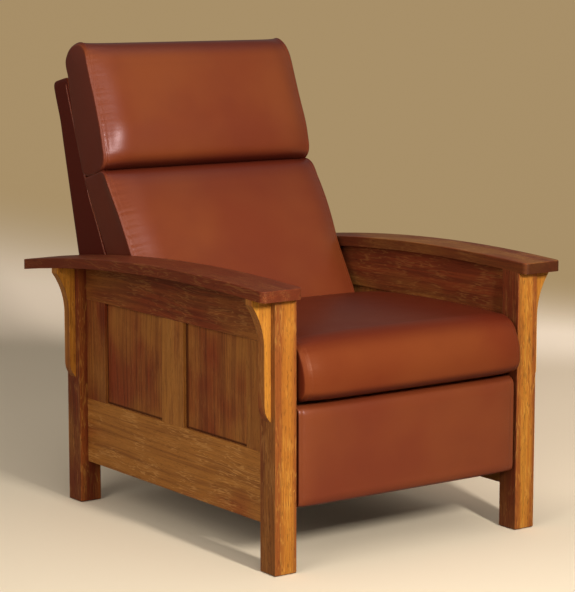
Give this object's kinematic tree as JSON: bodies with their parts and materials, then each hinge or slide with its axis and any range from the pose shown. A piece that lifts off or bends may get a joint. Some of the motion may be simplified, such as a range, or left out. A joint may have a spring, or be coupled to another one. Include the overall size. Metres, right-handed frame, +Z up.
{
  "type": "reclining armchair",
  "caption": "Mission reclining armchair with bowed arms on corbels, panelled sides, leather seat, two back pillows and a fold-out footrest",
  "frame": {"origin": "on the floor under the middle of the chair's overall box, upright with the footrest in", "axes": "+Z up, -Y towards the chair's front, +X towards the right of someone who looks at its front"},
  "size_m": [0.824, 1.0534, 1.0876],
  "materials": {
    "oak": "quarter-sawn oak with a golden brown satin finish",
    "inner_wood": "plain hardwood, unfinished",
    "leather": "oxblood leather, soft satin sheen",
    "deck_cloth": "black deck cloth over the springs",
    "steel": "black semi-gloss powder coat",
    "bright_steel": "zinc plated",
    "glide": "brown nylon"
  },
  "bodies": {
    "frame": {"front_post_left": "oak", "front_post_right": "oak", "rear_post_left": "oak", "rear_post_right": "oak", "front_corbel_left": "oak", "front_corbel_right": "oak", "rear_corbel_left": "oak", "rear_corbel_right": "oak", "arm_left": "oak", "arm_right": "oak", "top_rail_left": "oak", "top_rail_right": "oak", "bottom_rail_left": "oak", "bottom_rail_right": "oak", "front_stile_left": "oak", "front_stile_right": "oak", "mullion_left": "oak", "mullion_right": "oak", "rear_stile_left": "oak", "rear_stile_right": "oak", "front_panel_left": "oak", "front_panel_right": "oak", "rear_panel_left": "oak", "rear_panel_right": "oak", "rear_stretcher": "oak", "front_stretcher": "inner_wood", "glides": "glide", "mechanism_cleats": "inner_wood", "base_plate_left": "steel", "base_plate_right": "steel", "guide_pins": "bright_steel", "plate_screws": "bright_steel"},
    "seat": {"slide_plate_left": "steel", "slide_plate_right": "steel", "seat_front_rail": "inner_wood", "seat_rear_rail": "inner_wood", "seat_side_rail_left": "inner_wood", "seat_side_rail_right": "inner_wood", "seat_springs": "bright_steel", "seat_deck": "deck_cloth", "seat_cushion": "leather"},
    "back": {"back_side_rail_left": "inner_wood", "back_side_rail_right": "inner_wood", "back_top_rail": "inner_wood", "back_middle_rail": "inner_wood", "back_bottom_rail": "inner_wood", "back_springs": "bright_steel", "back_bracket_left": "steel", "back_bracket_right": "steel", "back_cover": "leather", "head_pillow": "leather", "lumbar_pillow": "leather"},
    "main_link_pair": {"main_links": "steel"},
    "cross_link_pair": {"cross_links": "steel"},
    "lift_link_pair": {"lift_links": "steel"},
    "control_link_pair": {"control_links": "steel"},
    "footrest": {"footrest_pad": "leather", "footrest_board": "inner_wood", "footrest_bracket_left": "steel", "footrest_bracket_right": "steel"}
  },
  "joints": [
    {"name": "footrest_open", "type": "hinge", "parent": "seat", "child": "main_link_pair", "pos_m": [0, -0.34554, 0.32937], "axis": [-1, 0, 0], "range_deg": [0, 55]},
    {"name": "seat_slide", "type": "slide", "parent": "frame", "child": "seat", "axis": [0, -1, 0], "range_m": [0, 0.075]},
    {"name": "cross_turn", "type": "hinge", "parent": "main_link_pair", "child": "cross_link_pair", "pos_m": [0, -0.36803, 0.23193], "axis": [-1, 0, 0], "range_deg": [-110, 0]},
    {"name": "lift_turn", "type": "hinge", "parent": "main_link_pair", "child": "lift_link_pair", "pos_m": [0, -0.39053, 0.13449], "axis": [-1, 0, 0], "range_deg": [-110, 0]},
    {"name": "control_turn", "type": "hinge", "parent": "lift_link_pair", "child": "control_link_pair", "pos_m": [0, -0.40271, 0.23375], "axis": [-1, 0, 0], "range_deg": [0, 110]},
    {"name": "footrest_turn", "type": "hinge", "parent": "lift_link_pair", "child": "footrest", "pos_m": [0, -0.4149, 0.333], "axis": [-1, 0, 0], "range_deg": [0, 148]},
    {"name": "back_recline", "type": "hinge", "parent": "seat", "child": "back", "pos_m": [0, 0.1601, 0.385], "axis": [-1, 0, 0], "range_deg": [0, 32]}
  ],
  "couplings": [
    {"joint": "seat_slide", "follows": "footrest_open", "m_per_rad": 0.078131},
    {"joint": "cross_turn", "follows": "footrest_open", "ratio": -2},
    {"joint": "lift_turn", "follows": "footrest_open", "ratio": -2},
    {"joint": "control_turn", "follows": "footrest_open", "ratio": 2},
    {"joint": "footrest_turn", "follows": "footrest_open", "ratio": 2.6909}
  ]
}
